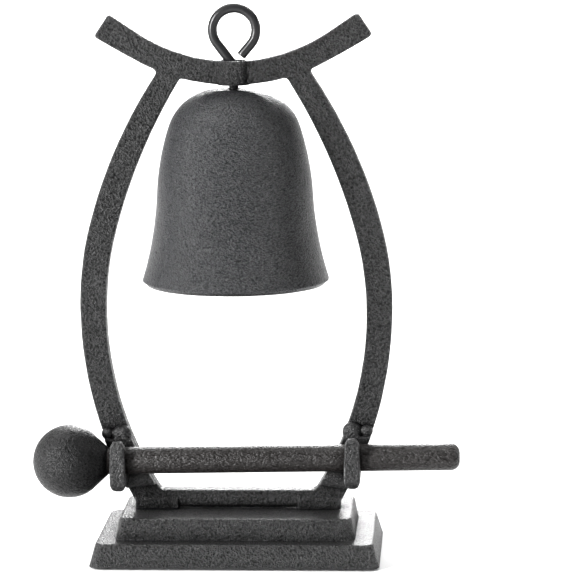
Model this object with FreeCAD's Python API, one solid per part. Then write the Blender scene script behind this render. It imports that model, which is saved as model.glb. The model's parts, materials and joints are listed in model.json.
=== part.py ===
"""Tabletop dinner bell on a cast stand, with a ball mallet resting on two hooks.

Millimetres.  +X runs to the right along the frame, +Y runs to the back, +Z is up.
The origin is on the table, under the middle of the base and the axis of the bell.
"""
import FreeCAD, Part
import math
import os

V = FreeCAD.Vector

# ---------------------------------------------------------------- base
PAD_T = 1.0                  # felt pads under the corners
PAD_R = 6.0
PAD_X, PAD_Y = 68.5, 36.5
LOWER_HALF_X, LOWER_HALF_Y = 78.0, 46.0      # foot of the lower tier
LOWER_TOP_Z = 13.6
UPPER_HALF_X, UPPER_HALF_Y = 64.6, 32.8      # foot of the upper tier
BASE_TOP_Z = 25.0
DRAFT = 0.27                 # sideways lean of a tier's wall per millimetre of height
UPPER_DRAFT = 0.16
CORNER_R = 5.5
BASE_WALL = 5.0
LOWER_ROUND, UPPER_ROUND = 1.2, 1.6          # along the top edge of each tier
HOLLOW_CORNER_R = 4.0
LANDING_MARGIN = 1.5         # the solid landing above a pad is this much wider than the pad

# ---------------------------------------------------------------- frame
FRAME_T = 10.0               # thickness front to back
HALF_T = FRAME_T / 2
EDGE_R = 1.0                 # cast rounding along the faces' edges
LEG_OUT_X, LEG_OUT_Z = 84.7, 136.0           # widest point of a leg's outer edge
LEG_IN_X, LEG_IN_Z = 70.7, 133.0             # widest point of its inner edge
LOW_OUT_R, LOW_IN_R = 215.0, 182.0           # edge radii below the widest point
MID_OUT_R, MID_IN_R = 175.0, 172.0           # just above it
TOP_OUT_R, TOP_IN_R = 270.0, 305.0           # up to the bow bar
MID_RISE = 45.0              # how far the middle radius reaches
LEG_TOP_Z = 268.5            # the legs end here, inside the bow bar
BAR_TOP_Z, BAR_TOP_R = 269.2, 93.0           # upper edge of the bow bar
BAR_LOW_Z, BAR_LOW_R = 256.5, 108.0          # lower edge of the bow bar
BAR_TOP_REACH, BAR_LOW_REACH = 50.0, 49.0    # how far out those two curves go
BAR_TOP_END = (66.6, 294.9)                  # corners of the cut end, X and Z
BAR_LOW_END = (74.7, 282.8)
BAR_LOW_MID = (62.3, 275.5)                  # the lower edge passes here, nearly straight
BAR_END_ROUND = 1.6
SILL_LOW_Z, SILL_TOP_Z = 25.3, 35.3          # the straight bottom bar, just clear of the base
SILL_ROUND = 3.0             # cast rounding along its lower edges
SILL_CORNER_R = 2.5          # where the legs meet it
LEG_CORNER_R = 2.2           # where the legs meet the bow bar
FOOT_X, FOOT_W, FOOT_T = 44.4, 23.4, 12.4
FOOT_TOP_Z = 31.6
FOOT_ROUND, BOSS_ROUND = 0.9, 0.9            # along the top edges
BOSS_R, BOSS_LOW_Z, BOSS_TOP_Z = 9.1, 256.3, 269.6
BOSS_HOLE_R = 3.3
BOSS_FLARE_R, BOSS_FLARE_Z = 6.6, 262.6

# ---------------------------------------------------------------- turned wire eye
WIRE_R = 2.6
EYE_R = 11.7                 # radius of the loop's centre line
EYE_X, EYE_Z = 0.55, 285.7
EYE_IN_TILT, EYE_OUT_TILT = 36.9, 40.5       # lean of the two legs of the loop
EYE_TAIL = 7.9
EYE_BEND_R = 6.0
SHANK_R = 2.5                # M5
SHANK_END_Z = 240.0
SHANK_ROUND = 0.5

# ---------------------------------------------------------------- bell
BELL_TOP_Z = 254.3
CROWN_FLAT_R, CROWN_R = 7.7, 29.2
SHOULDER_ANGLE = 18.0        # lean of the wall where the crown ends, in degrees
CROWN_MID_ANGLE = 54.0
WAIST_R_OF_CURVE, WAIST_ANGLE = 140.0, 3.0
FLARE_R, FLARE_ANGLE = 192.0, 17.5
RIM_ROUND = 1.4
CROWN_T, WAIST_T, LIP_T = 5.5, 4.0, 4.6
CROWN_HOLE_R = 3.15
WASHER_R, WASHER_T = 6.5, 1.2
WASHER_GAP = 0.6             # play between the crown and the washer
NUT_AF, NUT_T = 8.0, 4.0
NUT_CHAMFER = 1.06           # radius of the turned ends over the corner radius

# ---------------------------------------------------------------- hooks and mallet
HOOK_X = 63.2
HOOK_MID_Z, HOOK_STEP = 55.2, 0.9            # the right hook sits this much higher, the left lower
HOOK_W = 8.7
HOOK_PAD_T = 5.0             # plate that lies on the leg's front
PLATE_TOP_RISE = 10.0        # rises are above the rod's axis
PLATE_LOW_OUT_Z, PLATE_LOW_IN_Z = 37.0, 41.0  # its lower edge, at the leg's outer and inner side
PLATE_ROUND = 1.0
LOBE_OUT, LOBE_RISE, LOBE_R, LOBE_ROUND = -0.45, 11.95, 5.45, 4.2
SMALL_LOBE_OUT, SMALL_LOBE_RISE, SMALL_LOBE_R = 7.4, 12.6, 3.4
SMALL_LOBE_T, SMALL_LOBE_ROUND = 4.0, 2.9
ROD_R = 7.3
ROD_GAP = 0.35
SADDLE_R = ROD_R + ROD_GAP
ROD_Y = -(HALF_T + HOOK_PAD_T + SADDLE_R)
TONGUE_T = 4.2
TONGUE_RISE = 12.3           # top of the tongue above the rod's axis
SADDLE_T = 8.2
HOOK_HEEL_R = 6.0            # under the saddle, at the front
TONGUE_ROUND = 0.9
TONGUE_HALF = (               # half widths of the tongue's front, with heights from its top or its foot
    (2.2, "top", 0.0), (3.9, "top", -2.8), (4.35, "top", -14.0),
    (4.35, "foot", 4.6), (3.3, "foot", 1.6), (1.3, "foot", 0.0))
ROD_TILT = math.degrees(math.atan2(HOOK_STEP, HOOK_X))
BALL_R, BALL_X = 19.75, -90.4
NECK_ANGLE = 42.0            # half angle of the cone behind the ball
NECK_END_X = -69.5
ROD_END_X = 121.0
ROD_END_ROUND = 5.0
BORE_END_X = -94.0

# ---------------------------------------------------------------- fasteners
FRAME_SCREW_R = 3.0          # M6 hexagon screws up through the base
FRAME_SCREW_AF, FRAME_SCREW_HEAD = 10.0, 4.0
FRAME_SCREW_PLAY = 0.3       # in the base's hole
FRAME_SCREW_SHORT, FRAME_HOLE_SHORT = 3.0, 2.4   # where screw and hole stop, below the sill's top
LOCK_WASHER_R, LOCK_WASHER_T = 5.6, 1.6
LOCK_SPLIT = 1.0
SCREW_BOSS_R, SCREW_BOSS_Z = 9.0, 17.0
HOOK_SCREW_R = 2.0           # M4 countersunk screws from the back
HOOK_SCREW_HEAD_R, HOOK_SCREW_LEN = 4.0, 14.0
HOOK_SCREW_RISE, HOOK_SCREW_OUT = 12.6, 1.4  # above the rod's axis, and outside the hook's middle
HOOK_SCREW_PLAY = 0.2        # in the leg's hole
SLOT_DEPTH, SLOT_HALF_W = 1.0, 0.45


def cylinder(radius, height, foot, axis=V(0, 0, 1)):
    return Part.makeCylinder(radius, height, foot, axis)


def box(x0, x1, y0, y1, z0, z1):
    return Part.makeBox(x1 - x0, y1 - y0, z1 - z0, V(x0, y0, z0))


def prism_y(wire, y0, y1):
    """Extrude a closed outline drawn in the plane Y = y0 to y1."""
    face = Part.Face(wire)
    return face.extrude(V(0, y1 - y0, 0))


def arc(a, middle, b):
    return Part.Arc(a, middle, b).toShape()


def line(a, b):
    return Part.makeLine(a, b)


def fillet(shape, radius, chosen):
    """Round the edges that chosen() picks."""
    edges = [edge for edge in shape.Edges if chosen(edge)]
    return shape.makeFillet(radius, edges) if edges else shape


def hexagon(across_flats, height, foot):
    radius = across_flats / math.sqrt(3)
    corners = [foot + V(radius * math.cos(math.radians(60 * i)), radius * math.sin(math.radians(60 * i)), 0)
               for i in range(7)]
    return Part.Face(Part.makePolygon(corners)).extrude(V(0, 0, height))


def rounded_rectangle(half_x, half_y, radius, z):
    """Closed wire: a rectangle with round corners, at height z."""
    inner_x, inner_y = half_x - radius, half_y - radius
    edges = []
    for turn, (sx, sy) in enumerate(((1, 1), (-1, 1), (-1, -1), (1, -1))):
        centre = V(sx * inner_x, sy * inner_y, z)
        start = 90 * turn
        circle = Part.makeCircle(radius, centre, V(0, 0, 1), start, start + 90)
        edges.append(circle)
    corners = [(edge.valueAt(edge.FirstParameter), edge.valueAt(edge.LastParameter)) for edge in edges]
    loop = []
    for index, edge in enumerate(edges):
        loop.append(edge)
        loop.append(line(corners[index][1], corners[(index + 1) % 4][0]))
    return Part.Wire(loop)


def tier(half_x, half_y, radius, z0, z1, lean):
    """A block with round corners whose walls lean in by lean per millimetre."""
    shift = lean * (z1 - z0)
    foot = rounded_rectangle(half_x, half_y, radius, z0)
    top = rounded_rectangle(half_x - shift, half_y - shift, radius, z1)
    return Part.makeLoft([foot, top], True, True)


# ---------------------------------------------------------------- the stand
def base_casting():
    """Two stepped tiers, hollow underneath, with a boss for each screw."""
    lower = tier(LOWER_HALF_X, LOWER_HALF_Y, CORNER_R, PAD_T, LOWER_TOP_Z, DRAFT)
    upper = tier(UPPER_HALF_X, UPPER_HALF_Y, CORNER_R, LOWER_TOP_Z, BASE_TOP_Z, UPPER_DRAFT)
    lower = fillet(lower, LOWER_ROUND, lambda e: e.BoundBox.ZMin > LOWER_TOP_Z - 0.1)
    upper = fillet(upper, UPPER_ROUND, lambda e: e.BoundBox.ZMin > BASE_TOP_Z - 0.1)
    body = lower.fuse(upper)
    wall = BASE_WALL
    under_lower = tier(LOWER_HALF_X - wall, LOWER_HALF_Y - wall, HOLLOW_CORNER_R, PAD_T,
                       LOWER_TOP_Z - wall, DRAFT)
    under_upper = tier(UPPER_HALF_X - wall, UPPER_HALF_Y - wall, HOLLOW_CORNER_R, LOWER_TOP_Z - wall,
                       BASE_TOP_Z - wall, UPPER_DRAFT)
    body = body.cut(under_lower.fuse(under_upper))
    for side in (-1, 1):
        foot = V(side * FOOT_X, 0, SCREW_BOSS_Z)
        body = body.fuse(cylinder(SCREW_BOSS_R, BASE_TOP_Z - wall / 2 - SCREW_BOSS_Z, foot))
        body = body.cut(cylinder(FRAME_SCREW_R + FRAME_SCREW_PLAY, BASE_TOP_Z, V(side * FOOT_X, 0, 0)))
    for sx in (-1, 1):
        for sy in (-1, 1):
            landing = cylinder(PAD_R + LANDING_MARGIN, LOWER_TOP_Z - wall / 2 - PAD_T,
                               V(sx * PAD_X, sy * PAD_Y, PAD_T))
            body = body.fuse(landing.common(lower))
    return body.removeSplitter()


def foot_pad(side_x, side_y):
    return cylinder(PAD_R, PAD_T, V(side_x * PAD_X, side_y * PAD_Y, 0))


def edge_drop(radius, reach):
    """How far a round edge of this radius falls away over a reach along its tangent."""
    return radius - math.sqrt(radius ** 2 - reach ** 2)


def leg_edge(side, x, z, low_r, mid_r, top_r, y):
    """One edge of a bowed leg, drawn upwards: three arcs that run into each other."""
    def point(drop, height):
        return V(side * (x - drop), y, height)

    low_z = SILL_LOW_Z
    reach = z - low_z
    low = [point(edge_drop(low_r, reach), low_z), point(edge_drop(low_r, reach / 2), z - reach / 2),
           point(0, z)]
    mid = [point(0, z), point(edge_drop(mid_r, MID_RISE / 2), z + MID_RISE / 2),
           point(edge_drop(mid_r, MID_RISE), z + MID_RISE)]
    joint = math.asin(MID_RISE / mid_r)
    start_drop, start_z = edge_drop(mid_r, MID_RISE), z + MID_RISE

    def upper(rise):
        angle = math.asin(math.sin(joint) + rise / top_r)
        return point(start_drop + top_r * (math.cos(joint) - math.cos(angle)), start_z + rise)

    top_rise = LEG_TOP_Z - start_z
    top = [upper(0), upper(top_rise / 2), upper(top_rise)]
    return [arc(*low), arc(*mid), arc(*top)], low[0], top[2]


def leg(side):
    """A bowed leg, from the sill up into the bow bar."""
    y = -HALF_T
    outer, outer_foot, outer_top = leg_edge(side, LEG_OUT_X, LEG_OUT_Z, LOW_OUT_R, MID_OUT_R, TOP_OUT_R, y)
    inner, inner_foot, inner_top = leg_edge(side, LEG_IN_X, LEG_IN_Z, LOW_IN_R, MID_IN_R, TOP_IN_R, y)
    edges = outer + [line(outer_top, inner_top)] + inner + [line(inner_foot, outer_foot)]
    return prism_y(Part.Wire(Part.__sortEdges__(edges)), -HALF_T, HALF_T)


def circle_z(centre_z, radius, x):
    """Height of the lower half of a circle at x."""
    return centre_z - math.sqrt(radius ** 2 - x ** 2)


def bow_bar():
    """The upward bow of the top bar, cut square at both ends."""
    y = -HALF_T

    def at(x, z):
        return V(x, y, z)

    top_out = circle_z(BAR_TOP_Z + BAR_TOP_R, BAR_TOP_R, BAR_TOP_REACH)
    low_out = circle_z(BAR_LOW_Z + BAR_LOW_R, BAR_LOW_R, BAR_LOW_REACH)
    edges = [arc(at(-BAR_TOP_REACH, top_out), at(0, BAR_TOP_Z), at(BAR_TOP_REACH, top_out)),
             arc(at(-BAR_LOW_REACH, low_out), at(0, BAR_LOW_Z), at(BAR_LOW_REACH, low_out))]
    for side in (-1, 1):
        top_end = at(side * BAR_TOP_END[0], BAR_TOP_END[1])
        low_end = at(side * BAR_LOW_END[0], BAR_LOW_END[1])
        edges += [line(at(side * BAR_TOP_REACH, top_out), top_end), line(top_end, low_end),
                  arc(at(side * BAR_LOW_REACH, low_out), at(side * BAR_LOW_MID[0], BAR_LOW_MID[1]), low_end)]
    bar = prism_y(Part.Wire(Part.__sortEdges__(edges)), -HALF_T, HALF_T)
    end_only = BAR_TOP_END[0] - 1
    return fillet(bar, BAR_END_ROUND, lambda e: abs(e.BoundBox.YLength - FRAME_T) < 0.01
                  and abs(e.CenterOfMass.x) > end_only)


def sill():
    """The straight bottom bar, with a foot under each end."""
    reach = LEG_OUT_X - edge_drop(LOW_OUT_R, LEG_OUT_Z - SILL_LOW_Z) - 1.0
    bar = box(-reach, reach, -HALF_T, HALF_T, SILL_LOW_Z, SILL_TOP_Z)
    bar = fillet(bar, SILL_ROUND, lambda e: e.BoundBox.ZMax < SILL_LOW_Z + 0.1 and e.BoundBox.XLength > reach)
    for side in (-1, 1):
        centre = side * FOOT_X
        foot = box(centre - FOOT_W / 2, centre + FOOT_W / 2, -FOOT_T / 2, FOOT_T / 2, BASE_TOP_Z, FOOT_TOP_Z)
        foot = fillet(foot, FOOT_ROUND, lambda e: e.BoundBox.ZMin > BASE_TOP_Z + 0.1)
        bar = bar.fuse(foot)
    return bar


def boss():
    """The round boss at the middle of the bow bar, drilled and flared for the eye."""
    body = cylinder(BOSS_R, BOSS_TOP_Z - BOSS_LOW_Z, V(0, 0, BOSS_LOW_Z))
    return fillet(body, BOSS_ROUND, lambda e: e.BoundBox.ZLength < 0.1)


def frame_casting():
    body = bow_bar().fuse([leg(-1), leg(1), sill()]).removeSplitter()
    body = fillet(body, SILL_CORNER_R, lambda e: abs(e.BoundBox.YLength - FRAME_T) < 0.01
                  and abs(e.CenterOfMass.z - SILL_TOP_Z) < 0.6)
    body = fillet(body, LEG_CORNER_R, lambda e: abs(e.BoundBox.YLength - FRAME_T) < 0.01
                  and abs(e.CenterOfMass.x) < 55 and 255 < e.CenterOfMass.z < 268)
    body = fillet(body, EDGE_R, lambda e: e.BoundBox.YLength < 0.01
                  and abs(abs(e.CenterOfMass.y) - HALF_T) < 0.01 and e.BoundBox.ZMin > SILL_TOP_Z + 1)
    body = body.fuse(boss()).removeSplitter()
    body = body.cut(cylinder(BOSS_HOLE_R, 40, V(0, 0, BOSS_LOW_Z - 10)))
    flare = Part.makeCone(BOSS_HOLE_R, BOSS_FLARE_R, BOSS_TOP_Z - BOSS_FLARE_Z, V(0, 0, BOSS_FLARE_Z))
    body = body.cut(flare)
    for side in (-1, 1):
        screw_hole = cylinder(FRAME_SCREW_R, SILL_TOP_Z - FRAME_HOLE_SHORT - BASE_TOP_Z,
                              V(side * FOOT_X, 0, BASE_TOP_Z))
        body = body.cut(screw_hole)
        body = body.cut(hook_screw(side, HOOK_SCREW_PLAY))
    return body


# ---------------------------------------------------------------- fasteners
def frame_screw(side):
    """Hexagon screw up through the base into the foot of the frame."""
    washer_low = SCREW_BOSS_Z - LOCK_WASHER_T
    top = SILL_TOP_Z - FRAME_SCREW_SHORT
    head = hexagon(FRAME_SCREW_AF, FRAME_SCREW_HEAD, V(side * FOOT_X, 0, washer_low - FRAME_SCREW_HEAD))
    shank = cylinder(FRAME_SCREW_R, top - washer_low, V(side * FOOT_X, 0, washer_low))
    return head.fuse(shank).removeSplitter()


def lock_washer(side):
    foot = V(side * FOOT_X, 0, SCREW_BOSS_Z - LOCK_WASHER_T)
    ring = cylinder(LOCK_WASHER_R, LOCK_WASHER_T, foot)
    ring = ring.cut(cylinder(FRAME_SCREW_R, LOCK_WASHER_T, foot))
    split = box(0, LOCK_WASHER_R, -LOCK_SPLIT / 2, LOCK_SPLIT / 2, 0, SCREW_BOSS_Z)
    split.translate(V(side * FOOT_X, 0, 0))
    return ring.cut(split)


def hook_axis_z(side):
    """Height of the rod's axis at the hook on this side."""
    return HOOK_MID_Z + side * HOOK_STEP


def hook_screw(side, clearance=0):
    """Countersunk screw from the back of the leg into the hook's pad."""
    foot = V(side * (HOOK_X + HOOK_SCREW_OUT), HALF_T, hook_axis_z(side) + HOOK_SCREW_RISE)
    forward = V(0, -1, 0)
    head_depth = HOOK_SCREW_HEAD_R - HOOK_SCREW_R
    radius = HOOK_SCREW_R + clearance
    head = Part.makeCone(HOOK_SCREW_HEAD_R + clearance, radius, head_depth, foot, forward)
    shank = cylinder(radius, HOOK_SCREW_LEN - head_depth, foot + forward * head_depth, forward)
    screw = head.fuse(shank).removeSplitter()
    if clearance:
        return screw
    slot = box(-HOOK_SCREW_HEAD_R, HOOK_SCREW_HEAD_R, HALF_T - SLOT_DEPTH, HALF_T, -SLOT_HALF_W, SLOT_HALF_W)
    slot.translate(V(foot.x, 0, foot.z))
    return screw.cut(slot)


# ---------------------------------------------------------------- the hooks
def hook_strip(z):
    """The J of the hook in side view: back, saddle and tongue."""
    back_y, front_y = -HALF_T, ROD_Y - SADDLE_R - TONGUE_T
    top, low = z + TONGUE_RISE, z - SADDLE_R - SADDLE_T
    outer = box(-HOOK_W / 2, HOOK_W / 2, front_y, back_y, low, top)
    outer = fillet(outer, HOOK_HEEL_R, lambda e: e.BoundBox.XLength > HOOK_W - 0.1
                   and abs(e.CenterOfMass.y - front_y) < 0.1 and e.CenterOfMass.z < low + 0.1)
    channel = box(-HOOK_W, HOOK_W, ROD_Y - SADDLE_R, ROD_Y + SADDLE_R, z, top + 1)
    return outer.cut(channel)


def tongue_outline(z):
    """Front view of the hook: a tongue with sloping shoulders and a tapered foot."""
    y = ROD_Y - SADDLE_R - TONGUE_T
    heights = {"top": z + TONGUE_RISE, "foot": z - SADDLE_R - SADDLE_T}
    right = [V(half, y, heights[end] + offset) for half, end, offset in TONGUE_HALF]
    left = [V(-point.x, y, point.z) for point in reversed(right)]
    outline = prism_y(Part.makePolygon(right + left + right[:1]), y, 0)
    return fillet(outline, TONGUE_ROUND, lambda e: e.BoundBox.YMax < y + 0.1)


def hook_plate(side, z):
    """The plate on the leg's front: it follows the leg, and ends in a big and a small lobe."""
    front = -HALF_T - HOOK_PAD_T

    def lobe(out, rise, radius, thickness, rounding):
        centre = V(side * (HOOK_X + out), -HALF_T, z + rise)
        dome = cylinder(radius, thickness, centre, V(0, -1, 0))
        return fillet(dome, rounding, lambda e: e.BoundBox.YMax < -HALF_T - thickness + 0.1)

    far, near = side * (LEG_OUT_X + 10), side * 30
    wide = Part.makePolygon([V(near, front, PLATE_LOW_IN_Z), V(near, front, z + PLATE_TOP_RISE),
                             V(far, front, z + PLATE_TOP_RISE), V(far, front, PLATE_LOW_OUT_Z - 4),
                             V(side * (HOOK_X - 2), front, PLATE_LOW_OUT_Z), V(near, front, PLATE_LOW_IN_Z)])
    follower = leg(side)
    follower.translate(V(0, -FRAME_T, 0))
    plate = follower.common(prism_y(wide, front, -HALF_T))
    plate = fillet(plate, PLATE_ROUND, lambda e: e.BoundBox.YMax < front + 0.1)
    big = lobe(LOBE_OUT, LOBE_RISE, LOBE_R, HOOK_PAD_T, LOBE_ROUND)
    small = lobe(SMALL_LOBE_OUT, SMALL_LOBE_RISE, SMALL_LOBE_R, SMALL_LOBE_T, SMALL_LOBE_ROUND)
    return plate.fuse([big, small])


def hook(side):
    z = hook_axis_z(side)
    strip = hook_strip(z).common(tongue_outline(z))
    strip.translate(V(side * HOOK_X, 0, 0))
    channel = cylinder(SADDLE_R, 80, V(side * HOOK_X - 40, ROD_Y, z), V(1, 0, 0))
    body = strip.fuse(hook_plate(side, z)).cut(channel)
    return body.cut(hook_screw(side)).removeSplitter()


# ---------------------------------------------------------------- the eye
def eye_bolt():
    """One length of wire: threaded shank, a bend, and a loop whose tail stops above the bar."""
    lean_in, lean_out = math.radians(EYE_IN_TILT), math.radians(EYE_OUT_TILT)
    centre = V(EYE_X, 0, EYE_Z)
    join = centre + V(-math.cos(lean_in), 0, -math.sin(lean_in)) * EYE_R
    leave = centre + V(math.cos(lean_out), 0, -math.sin(lean_out)) * EYE_R
    tail = leave + V(-math.sin(lean_out), 0, -math.cos(lean_out)) * EYE_TAIL
    knee = V(0, 0, join.z + join.x / math.tan(lean_in))
    cut_back = EYE_BEND_R * math.tan(lean_in / 2)
    bend_low = knee - V(0, 0, cut_back)
    rising = (join - knee).normalize()
    bend_high = knee + rising * cut_back
    pivot = bend_low + V(-EYE_BEND_R, 0, 0)
    bend_mid = pivot + ((knee - pivot).normalize()) * EYE_BEND_R
    start = V(0, 0, BOSS_LOW_Z - 1.0)
    path = Part.Wire([line(start, bend_low), arc(bend_low, bend_mid, bend_high), line(bend_high, join),
                      arc(join, centre + V(0, 0, EYE_R), leave), line(leave, tail)])
    section = Part.Wire(Part.makeCircle(WIRE_R, start, V(0, 0, 1)))
    wire = path.makePipeShell([section], True, True)
    shank = cylinder(SHANK_R, start.z - SHANK_END_Z, V(0, 0, SHANK_END_Z))
    shank = fillet(shank, SHANK_ROUND, lambda e: e.BoundBox.ZMax < SHANK_END_Z + 0.1
                   and e.BoundBox.ZLength < 0.1)
    return wire.fuse(shank)


def crown_seat_z():
    return BELL_TOP_Z - CROWN_T


def bell_washer():
    foot = V(0, 0, crown_seat_z() - WASHER_GAP - WASHER_T)
    return cylinder(WASHER_R, WASHER_T, foot).cut(cylinder(SHANK_R, WASHER_T, foot))


def bell_nut():
    foot = V(0, 0, crown_seat_z() - WASHER_GAP - WASHER_T - NUT_T)
    chamfer = Part.makeSphere(NUT_AF / math.sqrt(3) * NUT_CHAMFER, foot + V(0, 0, NUT_T / 2))
    return hexagon(NUT_AF, NUT_T, foot).common(chamfer).cut(cylinder(SHANK_R, NUT_T, foot))


# ---------------------------------------------------------------- the bell
def bell_side(inset_crown, inset_waist, inset_lip):
    """Edges of the bell's side view from the crown's flat down to the mouth, set in by a wall."""
    centre = V(CROWN_FLAT_R, 0, BELL_TOP_Z - CROWN_R)
    crown_r = CROWN_R - inset_crown

    def on_crown(angle):
        turn = math.radians(angle)
        return centre + V(crown_r * math.cos(turn), 0, crown_r * math.sin(turn))

    def along(start, radius, first, last, part):
        """A point part of the way along an arc whose wall leans from first to last degrees."""
        a, b = math.sin(math.radians(first)), math.sin(math.radians(last))
        now = math.asin(a + (b - a) * part)
        drop = radius * abs(math.sin(now) - a)
        out = radius * abs(math.cos(math.radians(first)) - math.cos(now))
        return V(start.x + out, 0, start.z - drop)

    shoulder = on_crown(SHOULDER_ANGLE)
    waist_gain = inset_crown - inset_waist
    waist_mid = along(shoulder, WAIST_R_OF_CURVE, SHOULDER_ANGLE, WAIST_ANGLE, 0.5)
    waist = along(shoulder, WAIST_R_OF_CURVE, SHOULDER_ANGLE, WAIST_ANGLE, 1.0)
    waist_mid.x += waist_gain / 2
    waist.x += waist_gain
    lip_gain = inset_waist - inset_lip
    flare_mid = along(waist, FLARE_R, WAIST_ANGLE, FLARE_ANGLE, 0.5)
    lip = along(waist, FLARE_R, WAIST_ANGLE, FLARE_ANGLE, 1.0)
    flare_mid.x += lip_gain / 2
    lip.x += lip_gain
    flat = V(CROWN_FLAT_R, 0, BELL_TOP_Z - inset_crown)
    edges = [arc(flat, on_crown(CROWN_MID_ANGLE), shoulder), arc(shoulder, waist_mid, waist),
             arc(waist, flare_mid, lip)]
    return edges, flat, lip


def bell():
    outer, outer_flat, outer_lip = bell_side(0, 0, 0)
    inner, inner_flat, inner_lip = bell_side(CROWN_T, WAIST_T, LIP_T)
    hole_top, hole_low = V(CROWN_HOLE_R, 0, outer_flat.z), V(CROWN_HOLE_R, 0, inner_flat.z)
    rim = Part.Face(Part.Wire(Part.__sortEdges__(
        outer + inner + [line(hole_top, outer_flat), line(hole_low, inner_flat), line(hole_top, hole_low),
                         line(outer_lip, inner_lip)])))
    body = rim.revolve(V(0, 0, 0), V(0, 0, 1), 360)
    low = outer_lip.z
    return fillet(body, RIM_ROUND, lambda e: e.BoundBox.ZMax < low + 0.5 and e.BoundBox.ZLength < 0.1)


# ---------------------------------------------------------------- the mallet
def tilt_mallet(shape):
    """Lie the mallet through both saddles, one a little higher than the other."""
    shape.translate(V(0, ROD_Y, HOOK_MID_Z))
    shape.rotate(V(0, ROD_Y, HOOK_MID_Z), V(0, 1, 0), -ROD_TILT)
    return shape


def mallet_head():
    """Ball and neck in one turning, bored from the neck for the handle."""
    angle = math.radians(NECK_ANGLE)
    tangent_x = BALL_X + BALL_R * math.sin(angle)
    tangent_r = BALL_R * math.cos(angle)
    end_r = tangent_r - (NECK_END_X - tangent_x) * math.tan(angle)
    ball_back, ball_top = V(BALL_X - BALL_R, 0, 0), V(BALL_X, 0, BALL_R)
    tangent, neck_end = V(tangent_x, 0, tangent_r), V(NECK_END_X, 0, end_r)
    mouth, floor = V(NECK_END_X, 0, ROD_R), V(BORE_END_X, 0, ROD_R)
    back_mid = V(BALL_X - BALL_R * math.sqrt(0.5), 0, BALL_R * math.sqrt(0.5))
    front_mid = V(BALL_X + BALL_R * math.sin(angle / 2), 0, BALL_R * math.cos(angle / 2))
    outline = [arc(ball_back, back_mid, ball_top), arc(ball_top, front_mid, tangent),
               line(tangent, neck_end), line(neck_end, mouth), line(mouth, floor),
               line(floor, V(BORE_END_X, 0, 0)), line(V(BORE_END_X, 0, 0), ball_back)]
    head = Part.Face(Part.Wire(outline)).revolve(V(0, 0, 0), V(1, 0, 0), 360)
    return tilt_mallet(head)


def mallet_handle():
    rod = cylinder(ROD_R, ROD_END_X - BORE_END_X, V(BORE_END_X, 0, 0), V(1, 0, 0))
    rod = fillet(rod, ROD_END_ROUND, lambda e: e.BoundBox.XMin > ROD_END_X - 0.1)
    return tilt_mallet(rod)


def build():
    parts = {
        "base_casting": base_casting(),
        "frame_casting": frame_casting(),
        "eye_bolt": eye_bolt(),
        "bell_washer": bell_washer(),
        "bell_nut": bell_nut(),
        "bell": bell(),
        "mallet_head": mallet_head(),
        "mallet_handle": mallet_handle(),
    }
    for name, side in (("left", -1), ("right", 1)):
        parts["hook_" + name] = hook(side)
        parts["hook_screw_" + name] = hook_screw(side)
        parts["frame_screw_" + name] = frame_screw(side)
        parts["lock_washer_" + name] = lock_washer(side)
        parts["foot_pad_front_" + name] = foot_pad(side, -1)
        parts["foot_pad_back_" + name] = foot_pad(side, 1)
    return parts


os.makedirs("parts", exist_ok=True)
for node, shape in build().items():
    solid = shape if len(shape.Solids) != 1 else shape.Solids[0]
    solid.exportStep("parts/" + node + ".step")
    size = solid.optimalBoundingBox(False)
    print(f"{node:24s} solids {len(shape.Solids)} valid {solid.isValid()} "
          f"volume {solid.Volume / 1000:8.2f} cm3  x {size.XMin:7.2f} {size.XMax:7.2f} "
          f"y {size.YMin:7.2f} {size.YMax:7.2f} z {size.ZMin:7.2f} {size.ZMax:7.2f}")
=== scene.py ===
# %% [markdown]
# # A tabletop dinner bell on a cast stand
#
# The object stands about 300 mm tall. A two-step iron base carries a flat
# bow-topped frame. One turned wire makes the eye above the frame and the shank
# that the bell hangs from. A ball mallet lies across the front in two hooks.
#
# Nearly everything wears the same black textured coat, so the work is in three
# things: clean outlines, the softness of a sand casting, and a coat whose
# pebbles catch the light. Some sizes and places are read from the imported
# frame, the rest are given as numbers, and every new piece rides on one of its
# bodies.

# %% Load the frame
import json
import math

import bmesh
import bpy
from mathutils import Matrix, Vector, noise


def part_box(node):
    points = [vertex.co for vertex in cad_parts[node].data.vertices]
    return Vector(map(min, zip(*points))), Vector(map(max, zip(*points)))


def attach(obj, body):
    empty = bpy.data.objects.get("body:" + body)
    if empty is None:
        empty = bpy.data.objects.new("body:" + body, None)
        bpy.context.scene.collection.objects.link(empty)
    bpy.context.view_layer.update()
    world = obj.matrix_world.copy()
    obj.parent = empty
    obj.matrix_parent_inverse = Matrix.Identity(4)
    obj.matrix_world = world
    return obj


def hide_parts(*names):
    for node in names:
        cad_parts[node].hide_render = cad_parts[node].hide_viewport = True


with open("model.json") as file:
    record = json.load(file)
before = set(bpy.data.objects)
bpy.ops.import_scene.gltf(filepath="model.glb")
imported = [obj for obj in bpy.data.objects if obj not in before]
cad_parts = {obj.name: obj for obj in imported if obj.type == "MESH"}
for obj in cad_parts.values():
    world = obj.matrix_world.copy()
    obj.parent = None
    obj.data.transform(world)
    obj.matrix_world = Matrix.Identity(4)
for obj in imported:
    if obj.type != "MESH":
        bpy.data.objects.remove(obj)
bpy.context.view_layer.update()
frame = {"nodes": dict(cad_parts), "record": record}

MM = 0.001

# %% [markdown]
# ## The camera
#
# A long lens from a little above and slightly to the right flattens the depth
# of the base and keeps the legs nearly parallel. The camera can be aimed by
# hand or built from numbers. Numbers are used here: the point it looks at, how
# far away it stands, how far it turns to the right, how much it looks down, and
# a small roll, which gives the same view on every run.

# %% Camera
AIM = Vector((28.17, 0.0, 146.10)) * MM
AWAY = 1622.93 * MM
TURN, LOOK_DOWN, ROLL = math.radians(3.202), math.radians(8.638), math.radians(-0.5245)

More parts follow.
